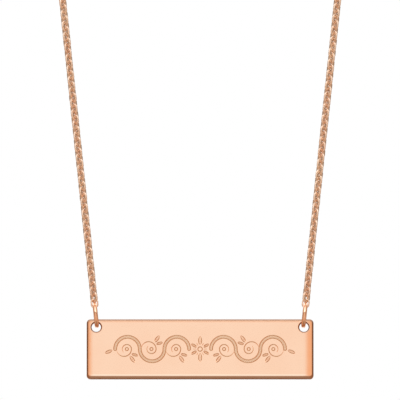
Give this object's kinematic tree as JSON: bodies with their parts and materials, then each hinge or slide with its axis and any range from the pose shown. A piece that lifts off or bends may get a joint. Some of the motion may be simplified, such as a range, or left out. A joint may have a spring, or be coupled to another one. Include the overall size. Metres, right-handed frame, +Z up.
{
  "type": "nameplate necklace",
  "caption": "Necklace with a flat engraved bar that swings from rings between runs of fine cable chain, closed by a spring ring clasp.",
  "frame": {"origin": "lowest point of the spring ring, at the middle of the necklace's back, where it lies on the nape or hangs on a peg", "axes": "+X along the bar to the wearer's left, -Y the engraved front, +Z up; the loop hangs in the XZ plane"},
  "size_m": [0.067, 0.004, 0.2005],
  "materials": {
    "polished_rose_gold": "mirror-polished rose gold",
    "rose_gold_wire": "polished rose gold wire",
    "rose_gold_chain": "tumble-polished rose gold links"
  },
  "bodies": {
    "chain_and_clasp": {"jump_ring_left": "rose_gold_wire", "jump_ring_right": "rose_gold_wire", "chain_left": "rose_gold_chain", "chain_right": "rose_gold_chain", "clasp": "rose_gold_wire", "clasp_ring": "rose_gold_wire", "catch_ring": "rose_gold_wire"},
    "bar": {"nameplate": "polished_rose_gold"}
  },
  "joints": [
    {"name": "bar_swing", "type": "hinge", "parent": "chain_and_clasp", "child": "bar", "pos_m": [0, 0, -0.18505], "axis": [1, 0, 0], "range_deg": [-140, 140]}
  ]
}
